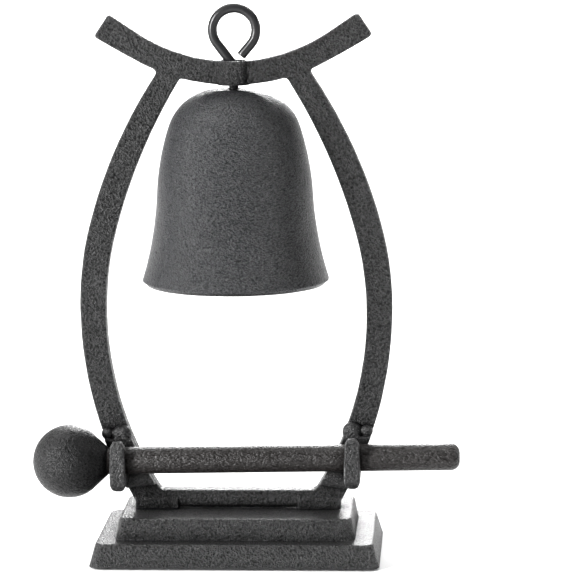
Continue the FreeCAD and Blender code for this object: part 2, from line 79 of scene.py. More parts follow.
back = Vector((math.sin(TURN) * math.cos(LOOK_DOWN), -math.cos(TURN) * math.cos(LOOK_DOWN),
               math.sin(LOOK_DOWN)))
right = Vector((math.cos(TURN), math.sin(TURN), 0.0))
upward = back.cross(right)
side_axis = right * math.cos(ROLL) + upward * math.sin(ROLL)
top_axis = upward * math.cos(ROLL) - right * math.sin(ROLL)

lens = bpy.data.cameras.new("front_camera")
lens.lens, lens.sensor_width = 187.365, 36.0
lens.clip_start, lens.clip_end = 0.05, 60.0
camera = bpy.data.objects.new("front_camera", lens)
bpy.context.scene.collection.objects.link(camera)
facing = Matrix((side_axis, top_axis, back)).transposed().to_4x4()
camera.matrix_world = Matrix.Translation(AIM + back * AWAY) @ facing
bpy.context.scene.camera = camera
print("camera stands at", [round(v, 3) for v in camera.matrix_world.translation])

# %% [markdown]
# ## The floor and the light
#
# Black iron shows almost nothing of its own colour: what we see is mostly what
# it mirrors. The floor is pale. The surroundings are pale at the horizon, dark
# a little higher and pale again overhead, so that a leaning face and an upright
# one differ. A lamp on the left draws the soft band down the bell, two dim
# strips light the sides, a panel behind brightens the ledges, and a wide one
# above keeps the far floor white. Lamps could be small and hard, but then each
# wrinkle of the coat would sparkle, so all of them are panels.

# %% Floor
def add_floor(reach):
    shape = bmesh.new()
    bmesh.ops.create_circle(shape, cap_ends=True, radius=reach, segments=96)
    mesh = bpy.data.meshes.new("floor")
    shape.to_mesh(mesh)
    shape.free()
    floor = bpy.data.objects.new("floor", mesh)
    bpy.context.scene.collection.objects.link(floor)
    paper = bpy.data.materials.new("white_paper")
    paper.use_nodes = True
    shader = paper.node_tree.nodes["Principled BSDF"]
    shader.inputs["Base Color"].default_value = (0.80, 0.80, 0.80, 1)
    shader.inputs["Roughness"].default_value = 0.9
    mesh.materials.append(paper)
    print("floor, metres across:", 2 * reach)


add_floor(12.0)

# %% Surroundings and lamps
def surroundings(levels):
    """Light from all round. levels are (height above the horizon, 0 to 1, and brightness)."""
    world = bpy.data.worlds.new("studio")
    bpy.context.scene.world = world
    world.use_nodes = True
    nodes, links = world.node_tree.nodes, world.node_tree.links
    place = nodes.new("ShaderNodeTexCoord")
    split = nodes.new("ShaderNodeSeparateXYZ")
    ramp = nodes.new("ShaderNodeValToRGB")
    stops = ramp.color_ramp.elements
    while len(stops) < len(levels):
        stops.new(0.5)
    for stop, (height, level) in zip(stops, levels):
        stop.position, stop.color = height, (level, level, level, 1)
    links.new(place.outputs["Generated"], split.inputs[0])
    links.new(split.outputs["Z"], ramp.inputs["Fac"])
    links.new(ramp.outputs["Color"], nodes["Background"].inputs["Color"])
    nodes["Background"].inputs["Strength"].default_value = 1.0


def lamp(name, place, aim, width, height, watts):
    light = bpy.data.lights.new(name, "AREA")
    light.shape, light.size, light.size_y, light.energy = "RECTANGLE", width, height, watts
    holder = bpy.data.objects.new(name, light)
    bpy.context.scene.collection.objects.link(holder)
    holder.location = place
    holder.rotation_euler = (Vector(aim) - Vector(place)).to_track_quat("-Z", "Y").to_euler()


SKY = [(0.0, 0.95), (0.14, 0.80), (0.22, 0.10), (0.45, 0.15), (0.85, 0.95)]
BELL_MIDDLE, FAR_FLOOR = (0.0, 0.0, 0.15), (0.0, 3.5, 0.0)
surroundings(SKY)
lamp("left_panel", (-1.15, -1.0, 0.55), BELL_MIDDLE, 0.32, 0.9, 84)
lamp("right_strip", (1.3, 0.35, 0.35), BELL_MIDDLE, 0.25, 0.9, 7)
lamp("left_strip", (-1.3, 0.35, 0.35), BELL_MIDDLE, 0.25, 0.9, 4)
lamp("back_panel", (0.0, 5.0, 1.5), BELL_MIDDLE, 1.1, 2.2, 150)
lamp("floor_wash", (0.0, 3.6, 3.2), FAR_FLOOR, 8.0, 7.0, 420)
bpy.context.scene.view_settings.view_transform = "Standard"
print("lamps:", [light.name for light in bpy.data.lights])

# %% [markdown]
# ## The textured coat
#
# The castings wear a black powder coat that cured into fine wrinkles, about
# 1 mm across. Height could be modelled, but millions of faces would buy nothing
# that can be seen, so the wrinkles are a bump: rounded cells with an uneven
# grain on top. Real coats are never one black, and the tone drifts slowly across
# each piece. Shade is also painted in: the hollows between the wrinkles get
# painted shade, so the crests come out lighter and shinier, and inside corners
# get painted shade that makes them dull and dark. Thin places on the edges are
# painted lighter, partly as rubbed wear and partly as a painted highlight. The
# same recipe is mixed once for each casting.

# %% Coat recipe
def add(tree, kind, **values):
    """A node with its input values set by name, underscores standing for spaces."""
    made = tree.nodes.new("ShaderNode" + kind)
    for name, value in values.items():
        made.inputs[name.replace("_", " ")].default_value = value
    return made


CELL_SMOOTHNESS, GRAIN_SHARE = 0.6, 2.4      # rounding of a cell, and grain over cell in the height
# These set the height range over which the painted shade of the hollows fades to the shine of the crests.
CREST_LOW, CREST_HIGH = 0.8, 2.7             # the stacked height in a hollow and on a crest
# These set the reach and strength of the painted shade in inside corners.
SHADE_REACH, SHADE_FULL_SKY, SHADE_FREE_SKY = 7.0, 0.50, 0.92   # mm, and the share of sky a place sees
# The last of these sets the edge colour, painted lighter: partly rubbed wear, partly a painted highlight.
DARKEST, LIGHTEST, RUBBED_AND_HIGHLIT = 0.3, 1.9, 6      # times the tone
EDGE_LOW, EDGE_HIGH = 0.515, 0.58            # pointiness where the lighter edge paint, part wear and part painted highlight, starts and is complete


def textured_coat(name, tone, wrinkle, height, rough, shine, wear_and_highlight=0.5, drag=(1, 1, 1)):
    """Black powder coat with wrinkles of this size and height in mm. drag squeezes them by axis."""
    coat = bpy.data.materials.new(name)
    coat.use_nodes = True
    tree = coat.node_tree
    shader = tree.nodes["Principled BSDF"]
    place = tree.nodes.new("ShaderNodeTexCoord")
    geometry = tree.nodes.new("ShaderNodeNewGeometry")
    stretch = add(tree, "Mapping", Scale=drag)
    tree.links.new(place.outputs["Object"], stretch.inputs["Vector"])

    cells = add(tree, "TexVoronoi", Scale=1 / (wrinkle * MM))
    cells.feature = "SMOOTH_F1"
    cells.inputs["Smoothness"].default_value = CELL_SMOOTHNESS
    grain = add(tree, "TexNoise", Scale=0.75 / (wrinkle * MM), Detail=3.0, Roughness=0.65)
    for texture in (cells, grain):
        tree.links.new(stretch.outputs[0], texture.inputs["Vector"])
    domes = add(tree, "MapRange", From_Min=0.8, From_Max=0.0)
    tree.links.new(cells.outputs["Distance"], domes.inputs["Value"])
    stack = tree.nodes.new("ShaderNodeMath")
    stack.operation = "MULTIPLY_ADD"
    stack.inputs[1].default_value = GRAIN_SHARE
    tree.links.new(grain.outputs["Fac"], stack.inputs[0])
    tree.links.new(domes.outputs[0], stack.inputs[2])
    bump = add(tree, "Bump", Strength=1.0, Distance=height * MM)
    tree.links.new(stack.outputs[0], bump.inputs["Height"])
    tree.links.new(bump.outputs["Normal"], shader.inputs["Normal"])

    # Painted shade: the hollows between the wrinkles get less shine and, through the colour ramp below, a
    # darker colour than the crests.
    crest = add(tree, "MapRange", From_Min=CREST_LOW, From_Max=CREST_HIGH, To_Min=0.02, To_Max=shine)
    tree.links.new(stack.outputs[0], crest.inputs["Value"])
    # Painted shade: an occlusion node dulls the shine and darkens the colour in inside corners.
    corner = add(tree, "AmbientOcclusion", Distance=SHADE_REACH * MM)
    corner.samples = 6
    painted_corner_shade = add(tree, "MapRange", From_Min=SHADE_FULL_SKY, From_Max=SHADE_FREE_SKY, To_Min=0.03)
    tree.links.new(corner.outputs["AO"], painted_corner_shade.inputs["Value"])
    shine_with_painted_shade = tree.nodes.new("ShaderNodeMath")
    shine_with_painted_shade.operation = "MULTIPLY"
    tree.links.new(crest.outputs[0], shine_with_painted_shade.inputs[0])
    tree.links.new(painted_corner_shade.outputs[0], shine_with_painted_shade.inputs[1])
    tree.links.new(shine_with_painted_shade.outputs[0], shader.inputs["Specular IOR Level"])

    drift = add(tree, "TexNoise", Scale=28.0, Detail=3.0)
    tree.links.new(place.outputs["Object"], drift.inputs["Vector"])
    # The colour ramp runs from the slow tone drift times the painted shade of the hollows and corners.
    body = tree.nodes.new("ShaderNodeValToRGB")
    body.color_ramp.elements[0].color = (*[c * DARKEST for c in tone], 1)
    body.color_ramp.elements[1].color = (*[c * LIGHTEST for c in tone], 1)
    tone_and_painted_shade = tree.nodes.new("ShaderNodeMath")
    tone_and_painted_shade.operation = "MULTIPLY"
    shade = add(tree, "MapRange", From_Min=0.25, From_Max=0.75, To_Min=0.75, To_Max=1.25)
    tree.links.new(drift.outputs["Fac"], shade.inputs["Value"])
    tree.links.new(shade.outputs[0], tone_and_painted_shade.inputs[0])
    tree.links.new(shine_with_painted_shade.outputs[0], tone_and_painted_shade.inputs[1])
    tree.links.new(tone_and_painted_shade.outputs[0], body.inputs["Fac"])

    # Edges are painted lighter by pointiness: partly rubbed wear, partly a painted highlight.
    edge_wear_and_highlight = add(tree, "MapRange", From_Min=EDGE_LOW, From_Max=EDGE_HIGH, To_Max=wear_and_highlight)
    tree.links.new(geometry.outputs["Pointiness"], edge_wear_and_highlight.inputs["Value"])
    rubbed_and_highlit_mix = tree.nodes.new("ShaderNodeMix")
    rubbed_and_highlit_mix.data_type = "RGBA"
    wear_and_highlight_in, colour_in, rubbed_and_highlit_in = (s for s in rubbed_and_highlit_mix.inputs if s.enabled)
    rubbed_and_highlit_in.default_value = (*[c * RUBBED_AND_HIGHLIT for c in tone], 1)
    tree.links.new(edge_wear_and_highlight.outputs[0], wear_and_highlight_in)
    tree.links.new(body.outputs["Color"], colour_in)
    tree.links.new(next(s for s in rubbed_and_highlit_mix.outputs if s.enabled), shader.inputs["Base Color"])

    dull = add(tree, "MapRange", From_Min=0.3, From_Max=0.7, To_Min=rough - 0.05, To_Max=rough + 0.06)
    tree.links.new(drift.outputs["Fac"], dull.inputs["Value"])
    tree.links.new(dull.outputs[0], shader.inputs["Roughness"])
    return coat


base_coat = textured_coat("base_coat", (0.013, 0.013, 0.0132), 1.0, 0.70, rough=0.34, shine=0.75)
frame_coat = textured_coat("frame_coat", (0.012, 0.012, 0.0122), 1.0, 0.72, rough=0.34, shine=0.66)
bell_coat = textured_coat("bell_coat", (0.011, 0.0115, 0.0128), 0.9, 0.52, rough=0.31, shine=0.70, wear_and_highlight=0.2,
                          drag=(0.8, 0.8, 1.25))
hook_coat = textured_coat("hook_coat", (0.013, 0.013, 0.0132), 0.9, 0.24, rough=0.30, shine=0.60, wear_and_highlight=0.9)
ball_coat = textured_coat("ball_coat", (0.009, 0.009, 0.0093), 1.0, 0.34, rough=0.36, shine=0.36)
rod_coat = textured_coat("rod_coat", (0.0140, 0.0122, 0.0116), 0.9, 0.36, rough=0.32, shine=0.55,
                         drag=(0.6, 1, 1))
print("coats mixed:", [m.name for m in bpy.data.materials if m.name.endswith("_coat")])

# %% [markdown]
# ## From outline to piece
#
# Three helpers do most of the shaping. One turns a list of points and faces
# into a piece. One joins a stack of rings that all have the same number of
# points, which suits stepped blocks, turned work and bent wire alike. One moves
# a finished surface by a fraction of a millimetre, the way sand leaves it.

# %% Piece, rings and cast skin
def piece_from(name, points, faces, finish, body, node):
    mesh = bpy.data.meshes.new(name)
    mesh.from_pydata([tuple(p) for p in points], [], faces)
    shape = bmesh.new()
    shape.from_mesh(mesh)
    bmesh.ops.recalc_face_normals(shape, faces=shape.faces)
    shape.to_mesh(mesh)
    shape.free()
    mesh.shade_smooth()
    mesh.materials.append(finish)
    piece = bpy.data.objects.new(name, mesh)
    bpy.context.scene.collection.objects.link(piece)
    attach(piece, body)
    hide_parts(node)
    return piece


def skin_of_rings(rings, close_ends=True, loop=False):
    """Points and quads that join each ring to the next."""
    around = len(rings[0])
    points = [point for ring in rings for point in ring]
    faces = []
    last = len(rings) if loop else len(rings) - 1
    for row in range(last):
        low, high = row * around, (row + 1) % len(rings) * around
        for i in range(around):
            j = (i + 1) % around
            faces.append((low + i, low + j, high + j, high + i))
    if close_ends and not loop:
        faces.append(tuple(reversed(range(around))))
        faces.append(tuple(range(len(points) - around, len(points))))
    return points, faces


def join_skins(*skins):
    points, faces = [], []
    for more_points, more_faces in skins:
        start = len(points)
        points += more_points
        faces += [tuple(start + i for i in face) for face in more_faces]
    return points, faces


def cast_skin(piece, depth, span):
    """Push the surface in and out by up to depth mm, in waves about span mm long."""
    mesh = piece.data
    normals = [v.normal.copy() for v in mesh.vertices]
    for vertex, normal in zip(mesh.vertices, normals):
        wave = noise.noise(vertex.co / (span * MM)) + 0.45 * noise.noise(vertex.co / (0.3 * span * MM))
        vertex.co += normal * wave * depth * MM
    mesh.update()


SLOT_OF = {part["node"]: part["material_slot"] for part in frame["record"]["subparts"]}
print("slots:", sorted(set(SLOT_OF.values())))

# %% [markdown]
# ## The base
#
# The base is one iron casting: a wide lower step, a smaller upper step, walls
# that lean in so that the pattern pulls out of the sand, and round corners.
# Underneath it is hollow, with a boss for each screw and a landing for each
# pad. It could be two blocks with their edges bevelled. It is drawn instead as
# one skin of round-cornered rings that runs from the middle of the top, down
# over both steps, under the rim and up to the middle of the ceiling, so that
# every edge gets exactly the rounding that it needs.

# %% Rings with round corners
CORNER_R, ROW_HEIGHT = 5.5, 1.4

def corner_ring(half_x, half_y, radius, z, long_steps=86, short_steps=48, corner_steps=7):
    points = []
    for turn, (sx, sy) in enumerate(((1, 1), (-1, 1), (-1, -1), (1, -1))):
        centre_x, centre_y = sx * (half_x - radius), sy * (half_y - radius)
        for i in range(corner_steps + 1):
            angle = math.radians(90 * turn + 90 * i / corner_steps)
            points.append(Vector((centre_x + radius * math.cos(angle),
                                  centre_y + radius * math.sin(angle), z)) * MM)
        steps = long_steps if turn % 2 == 0 else short_steps
        straight = 2 * (half_x - radius if turn % 2 == 0 else half_y - radius)
        step = Vector(((-1, 0, 0), (0, -1, 0), (1, 0, 0), (0, 1, 0))[turn]) * straight / steps * MM
        start = points[-1]
        points += [start + step * i for i in range(1, steps)]
    return points


def step_rings(half_x, half_y, low, high, lean, edge, corner=CORNER_R):
    """Rings up one step's wall and over its rounded top edge, as (half_x, half_y, corner, z)."""
    rows = []
    top_of_wall = high - edge
    count = max(2, round((top_of_wall - low) / ROW_HEIGHT))
    for i in range(count + 1):
        z = low + (top_of_wall - low) * i / count
        rows.append((half_x - lean * (z - low), half_y - lean * (z - low), corner, z))
    inset = lean * (top_of_wall - low)
    for i in range(1, 7):
        angle = math.radians(15 * i)
        gone = inset + edge * (1 - math.cos(angle)) + lean * edge * math.sin(angle) * 0.5
        rows.append((half_x - gone, half_y - gone, corner, top_of_wall + edge * math.sin(angle)))
    return rows


def flat_rows(start, end, count):
    """Rings across a level surface, from one outline to the next."""
    return [tuple(a + (b - a) * i / count for a, b in zip(start, end)) for i in range(1, count + 1)]


base_low, base_high = (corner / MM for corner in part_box("base_casting"))
LOWER_X, LOWER_Y, RIM_Z, TOP_Z = base_high.x, base_high.y, base_low.z, base_high.z
LEDGE_Z, UPPER_X, UPPER_Y, WALL = 13.6, 64.6, 32.8, 5.0
LOWER_LEAN, UPPER_LEAN = 0.27, 0.16          # sideways per height
LOWER_ROUND, UPPER_ROUND, HOLLOW_CORNER = 1.2, 1.6, 4.0
MIDDLE_STRIP = (31.0, 1.0, 0.9)              # the last small ring that closes a level surface
print("base, mm:", [round(v, 2) for v in (LOWER_X, LOWER_Y, RIM_Z, TOP_Z)])

# %% Base
lower_rows = step_rings(LOWER_X, LOWER_Y, RIM_Z, LEDGE_Z, LOWER_LEAN, LOWER_ROUND)
upper_rows = step_rings(UPPER_X, UPPER_Y, LEDGE_Z + 0.4, TOP_Z, UPPER_LEAN, UPPER_ROUND)
ledge_rows = flat_rows(lower_rows[-1], (UPPER_X + 0.5, UPPER_Y + 0.5, 5.9, LEDGE_Z), 7)
ledge_rows += [(UPPER_X + 0.15, UPPER_Y + 0.15, 5.6, LEDGE_Z + 0.12)]
top_rows = flat_rows(upper_rows[-1], (*MIDDLE_STRIP, TOP_Z), 20)

low_hollow = step_rings(LOWER_X - WALL, LOWER_Y - WALL, RIM_Z, LEDGE_Z - WALL,
                        LOWER_LEAN, 1.0, HOLLOW_CORNER)
high_hollow = step_rings(UPPER_X - WALL, UPPER_Y - WALL, LEDGE_Z - WALL + 0.8, TOP_Z - WALL,
                         UPPER_LEAN, 1.5, HOLLOW_CORNER)
soffit = flat_rows(low_hollow[-1], (UPPER_X - WALL + 0.8, UPPER_Y - WALL + 0.8, 4.5, LEDGE_Z - WALL), 6)
ceiling = flat_rows(high_hollow[-1], (*MIDDLE_STRIP, TOP_Z - WALL), 16)

rim_edge = [(LOWER_X - 0.5, LOWER_Y - 0.5, 5.2, RIM_Z),
            (LOWER_X - WALL + 0.5, LOWER_Y - WALL + 0.5, 4.3, RIM_Z)]
lower_rows[0] = (*lower_rows[0][:3], RIM_Z + 0.4)
low_hollow[0] = (*low_hollow[0][:3], RIM_Z + 0.4)
outside = lower_rows + ledge_rows + upper_rows + top_rows
inside = low_hollow + soffit + high_hollow + ceiling
rows = list(reversed(outside)) + rim_edge + inside
base_skin = skin_of_rings([corner_ring(*row) for row in rows])


def turned(profile, around, centre=Vector((0, 0, 0)), closed=False):
    """Turn (radius, height) pairs, in mm, about an upright axis through centre."""
    rings = []
    for radius, height in profile:
        rings.append([centre + Vector((radius * math.cos(2 * math.pi * i / around),
                                       radius * math.sin(2 * math.pi * i / around), height)) * MM
                      for i in range(around)])
    return skin_of_rings(rings, close_ends=not closed, loop=closed)


screw_low, screw_high = (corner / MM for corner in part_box("frame_screw_right"))
screw_x = (screw_low.x + screw_high.x) / 2
pad_low, pad_high = (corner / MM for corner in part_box("foot_pad_back_right"))
pad_x, pad_y = (pad_low.x + pad_high.x) / 2, (pad_low.y + pad_high.y) / 2
pad_r = (pad_high.x - pad_low.x) / 2

boss_profile = [(3.3, 17.0), (3.3, 20.6), (10.2, 20.6), (9.3, 19.6), (9.0, 18.8), (9.0, 17.6),
                (8.7, 17.15), (8.3, 17.0)]
landing_profile = [(0.3, 1.0), (6.9, 1.0), (7.25, 1.3), (7.25, 8.4), (0.3, 8.4)]
bosses = [turned(boss_profile, 64, Vector((side * screw_x, 0, 0)) * MM, closed=True) for side in (-1, 1)]
landings = [turned(landing_profile, 40, Vector((sx * pad_x, sy * pad_y, 0)) * MM)
            for sx in (-1, 1) for sy in (-1, 1)]
base = piece_from("base", *join_skins(base_skin, *bosses, *landings), base_coat, "stand", "base_casting")
cast_skin(base, depth=0.10, span=16)
print("base faces:", len(base.data.polygons))

# %% [markdown]
# ## The frame and the hooks
#
# The frame is one flat iron casting: a bow-shaped top bar, two bowed legs, a
# straight bar between two feet, and a round boss drilled for the wire. The two
# hooks are small castings screwed to the legs. Their outlines are settled in
# the CAD solids. Drawing them again by hand would risk drifting off them, so
# the drawn solid is taken as the pattern: its shape is copied to a new piece,
# wrapped in small even quads, and relaxed. Sharp inside corners fill and
# outside edges soften, as they do in sand.

# %% Castings from their patterns
def cast_from(node, name, quad, relax, finish, body):
    """A new piece wrapped round the pattern in quads of about quad mm."""
    mesh = frame["nodes"][node].data.copy()
    mesh.materials.clear()
    mesh.materials.append(finish)
    piece = bpy.data.objects.new(name, mesh)
    bpy.context.scene.collection.objects.link(piece)
    wrap = piece.modifiers.new("wrap", "REMESH")
    wrap.mode, wrap.voxel_size, wrap.use_smooth_shade = "VOXEL", quad * MM, True
    soften = piece.modifiers.new("soften", "SMOOTH")
    soften.factor, soften.iterations = 0.5, relax
    shaped = piece.evaluated_get(bpy.context.evaluated_depsgraph_get())
    piece.data = bpy.data.meshes.new_from_object(shaped)
    piece.modifiers.clear()
    piece.data.name = name
    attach(piece, body)
    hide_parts(node)
    return piece


frame_piece = cast_from("frame_casting", "frame", 0.6, 5, frame_coat, "stand")
cast_skin(frame_piece, depth=0.10, span=12)
print("frame faces:", len(frame_piece.data.polygons))
for side_name in ("left", "right"):
    hook = cast_from("hook_" + side_name, "hook_" + side_name + "_cast", 0.35, 5, hook_coat, "stand")
    cast_skin(hook, depth=0.04, span=6)
    print(hook.name, "faces:", len(hook.data.polygons))

# %% [markdown]
# ## The bell
#
# The bell is turned in the mind, though it was cast: a round crown, a long
# waist that leans out very little, and a flared mouth with a rounded lip. A
# curve spun by a modifier would do. Here the outline is worked out as three
# arcs that run into each other, outside and then inside, and each point is
# turned once, so that the wall is thick at the crown and thins at the waist.

# %% Bell outline
BELL_TOP, CROWN_FLAT, CROWN_R = 254.3, 7.7, 29.2
SHOULDER, WAIST, MOUTH = 18.0, 3.0, 17.5
WAIST_R, FLARE_R = 140.0, 192.0
CROWN_T, WAIST_T, LIP_T = 5.5, 4.0, 4.6
HOLE_R = 3.15


def bell_side(crown_in, waist_in, lip_in):
    """(radius, height) from the crown's flat to the mouth, set in from the outside by the wall."""
    side = []
    crown = CROWN_R - crown_in
    for i in range(25):
        angle = math.radians(90 - (90 - SHOULDER) * i / 24)
        side.append((CROWN_FLAT + crown * math.cos(angle), BELL_TOP - CROWN_R + crown * math.sin(angle)))
    for radius, first, last, gain, count in ((WAIST_R, SHOULDER, WAIST, crown_in - waist_in, 28),
                                             (FLARE_R, WAIST, MOUTH, waist_in - lip_in, 36)):
        start_r, start_z = side[-1]
        a, b = math.sin(math.radians(first)), math.sin(math.radians(last))
        for i in range(1, count + 1):
            now = math.asin(a + (b - a) * i / count)
            out = radius * abs(math.cos(math.radians(first)) - math.cos(now))
            side.append((start_r + out + gain * i / count, start_z - radius * abs(math.sin(now) - a)))
    return side


outer, inner = bell_side(0, 0, 0), bell_side(CROWN_T, WAIST_T, LIP_T)
lip_r, lip_z = outer[-1]
print("lip radius and height, mm:", round(lip_r, 2), round(lip_z, 2))

# %% Bell
def round_between(start, corner, end, count=6):
    """A rounded corner from start to end, as (radius, height) pairs."""
    arc = []
    for i in range(1, count):
        t = i / count
        arc.append(tuple((1 - t) ** 2 * s + 2 * t * (1 - t) * c + t * t * e
                         for s, c, e in zip(start, corner, end)))
    return arc


inner_r, inner_z = inner[-1]
outer_end, inner_end = outer[-2], inner[-2]
foot_out, foot_in = (lip_r - 1.5, lip_z), (inner_r + 1.5, inner_z)
rim = ([outer_end] + round_between(outer_end, outer[-1], foot_out) + [foot_out, foot_in]
       + round_between(foot_in, inner[-1], inner_end) + [inner_end])
crown_top = [(HOLE_R, BELL_TOP - 0.3), (HOLE_R + 0.3, BELL_TOP), (5.4, BELL_TOP)]
crown_low = [(5.6, BELL_TOP - CROWN_T), (HOLE_R, BELL_TOP - CROWN_T)]
profile = crown_top + outer[:-2] + rim + list(reversed(inner[:-2])) + crown_low
bell = piece_from("bell_cast", *turned(profile, 176, closed=True), bell_coat, "bell", "bell")
cast_skin(bell, depth=0.09, span=15)
print("bell faces:", len(bell.data.polygons))

# %% [markdown]
# ## The wire eye
#
# One length of 5 mm wire makes the loop, the bend and the shank. Its coat is
# smooth and a little glossy, so it shows two bright lines along its length.
# A curve with a round bevel would make the bend. Rings are laid one by one along
# the middle line instead, because the lower end is an M5 thread, and a thread
# is simply a ring whose radius depends on the angle.

# %% Wire coat
def smooth_coat(name, tone, rough):
    coat = bpy.data.materials.new(name)
    coat.use_nodes = True
    tree = coat.node_tree
    shader = tree.nodes["Principled BSDF"]
    shader.inputs["Specular IOR Level"].default_value = 0.22
    place = tree.nodes.new("ShaderNodeTexCoord")
    ripple = add(tree, "TexNoise", Scale=420.0, Detail=2.0)
    cloud = add(tree, "TexNoise", Scale=60.0, Detail=3.0)
    for texture in (ripple, cloud):
        tree.links.new(place.outputs["Object"], texture.inputs["Vector"])
    bump = add(tree, "Bump", Strength=1.0, Distance=0.035 * MM)
    tree.links.new(ripple.outputs["Fac"], bump.inputs["Height"])
    tree.links.new(bump.outputs["Normal"], shader.inputs["Normal"])
    body = tree.nodes.new("ShaderNodeValToRGB")
    body.color_ramp.elements[0].color = (*[c * 0.8 for c in tone], 1)
    body.color_ramp.elements[1].color = (*[c * 1.3 for c in tone], 1)
    tree.links.new(cloud.outputs["Fac"], body.inputs["Fac"])
    tree.links.new(body.outputs["Color"], shader.inputs["Base Color"])
    gloss = add(tree, "MapRange", To_Min=rough - 0.06, To_Max=rough + 0.08)
    tree.links.new(cloud.outputs["Fac"], gloss.inputs["Value"])
    tree.links.new(gloss.outputs[0], shader.inputs["Roughness"])
    return coat


wire_coat = smooth_coat("wire_coat", (0.010, 0.010, 0.0105), rough=0.22)

# %% Middle line of the wire
WIRE_R, EYE_R, BEND_R, TAIL = 2.6, 11.7, 6.0, 7.9
LEAN_IN, LEAN_OUT = math.radians(36.9), math.radians(40.5)
eye_centre = Vector((0.55, 285.7))
WIRE_FOOT, AROUND = 255.3, 40

join = eye_centre + Vector((-math.cos(LEAN_IN), -math.sin(LEAN_IN))) * EYE_R
leave = eye_centre + Vector((math.cos(LEAN_OUT), -math.sin(LEAN_OUT))) * EYE_R
tail_end = leave + Vector((-math.sin(LEAN_OUT), -math.cos(LEAN_OUT))) * TAIL
knee_z = join.y + join.x / math.tan(LEAN_IN)
cut = BEND_R * math.tan(LEAN_IN / 2)


def line_of_wire():
    """(x, z, direction) along the wire's middle: shank, bend, rise, loop and tail."""
    path = []
    bend_z = knee_z - cut
    for i in range(11):
        path.append((0.0, WIRE_FOOT + (bend_z - WIRE_FOOT) * i / 10, 90.0))
    for i in range(1, 11):
        turn = LEAN_IN * i / 10
        path.append((-BEND_R * (1 - math.cos(turn)), bend_z + BEND_R * math.sin(turn),
                     90 + math.degrees(turn)))
    rise_x, rise_z, rise_way = path[-1]
    for i in range(1, 7):
        path.append((rise_x + (join.x - rise_x) * i / 6, rise_z + (join.y - rise_z) * i / 6, rise_way))
    first, last = 180 + math.degrees(LEAN_IN), -math.degrees(LEAN_OUT)
    for i in range(1, 91):
        angle = first + (last - first) * i / 90
        path.append((eye_centre.x + EYE_R * math.cos(math.radians(angle)),
                     eye_centre.y + EYE_R * math.sin(math.radians(angle)), angle - 90))
    for i in range(1, 7):
        point = leave.lerp(tail_end, i / 6)
        path.append((point.x, point.y, last - 90))
    return path


def wire_ring(x, z, way, radius, around=AROUND):
    """A ring of wire across its direction, which is in degrees in the upright plane."""
    across = Vector((math.sin(math.radians(way)), 0, -math.cos(math.radians(way))))
    depth = Vector((0, 1, 0))
    return [(Vector((x, 0, z)) + (across * math.cos(2 * math.pi * i / around)
                                  + depth * math.sin(2 * math.pi * i / around)) * radius) * MM
            for i in range(around)]


# %% Wire and its thread
PITCH, THREAD_TOP, MAJOR_R, MINOR_R = 0.8, 252.0, 2.48, 2.12
THREAD_STEP, LEAD_IN, RUN_OUT = 0.1, 6, 8    # mm between rings, then rings at each end
shank_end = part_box("eye_bolt")[0].z / MM
thread_rings = []
levels = int((THREAD_TOP - shank_end) / THREAD_STEP)
for row in range(levels + 1):
    z = shank_end + THREAD_STEP * row
    ring = []
    for i in range(AROUND):
        phase = (z / PITCH - i / AROUND) % 1.0
        crest = MINOR_R + (MAJOR_R - MINOR_R) * (1 - abs(2 * phase - 1)) * 1.15
        radius = min(MAJOR_R, crest)
        if row < LEAD_IN:
            radius = min(radius, MINOR_R - 0.1 + row * 0.08)
        if levels - row < RUN_OUT:
            radius = MAJOR_R + (radius - MAJOR_R) * (levels - row) / RUN_OUT
        angle = 2 * math.pi * i / AROUND
        ring.append(Vector((radius * math.cos(angle), radius * math.sin(angle), z)) * MM)
    thread_rings.append(ring)

path = line_of_wire()
wire_rings = [wire_ring(x, z, way, WIRE_R) for x, z, way in path]
end_x, end_z, end_way = path[-1]
ahead = Vector((math.cos(math.radians(end_way)), math.sin(math.radians(end_way))))
for step, radius in ((0.15, 2.52), (0.3, 2.3)):
    wire_rings.append(wire_ring(end_x + ahead.x * step, end_z + ahead.y * step, end_way, radius))
collar = [wire_ring(0, WIRE_FOOT - 0.6, 90, MAJOR_R), wire_ring(0, WIRE_FOOT - 0.2, 90, MAJOR_R + 0.05)]
plain = [[Vector((p.x, p.y, z * MM)) for p in collar[0]] for z in (THREAD_TOP + 0.3, 253.5)]
wire_skin = skin_of_rings(plain + collar + wire_rings)
thread_cap = [Vector((MAJOR_R * math.cos(2 * math.pi * i / AROUND),
                      MAJOR_R * math.sin(2 * math.pi * i / AROUND), THREAD_TOP + 0.35)) * MM
              for i in range(AROUND)]
thread_skin = skin_of_rings(thread_rings + [thread_cap])
eye = piece_from("wire_eye", *join_skins(wire_skin, thread_skin), wire_coat, "hanger", "eye_bolt")
print("wire faces:", len(eye.data.polygons))

# %% [markdown]
# ## The mallet
#
# The mallet is turned wood under the same coat: a ball that runs into a
# straight neck, bored for a round handle with a soft end. It could be a sphere
# and a cylinder pushed together, but the join of ball, neck and handle is what
# the eye rests on, so both are turned from their own outlines about the
# handle's axis, and the turning leaves faint waves.

# %% Axis of the mallet
rod_low, rod_high = (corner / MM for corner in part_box("mallet_handle"))
ROD_R = (rod_high.y - rod_low.y) / 2
rod_y = (rod_high.y + rod_low.y) / 2
tilt = math.atan2(rod_high.z - rod_low.z - 2 * ROD_R, rod_high.x - rod_low.x)
rod_mid = Vector(((rod_high.x + rod_low.x) / 2, rod_y, (rod_high.z + rod_low.z) / 2))
along = Vector((math.cos(tilt), 0, math.sin(tilt)))
rod_origin = rod_mid - along * (rod_mid.x / math.cos(tilt))
print("handle radius, tilt in degrees:", round(ROD_R, 2), round(math.degrees(tilt), 2), "axis at", rod_origin)


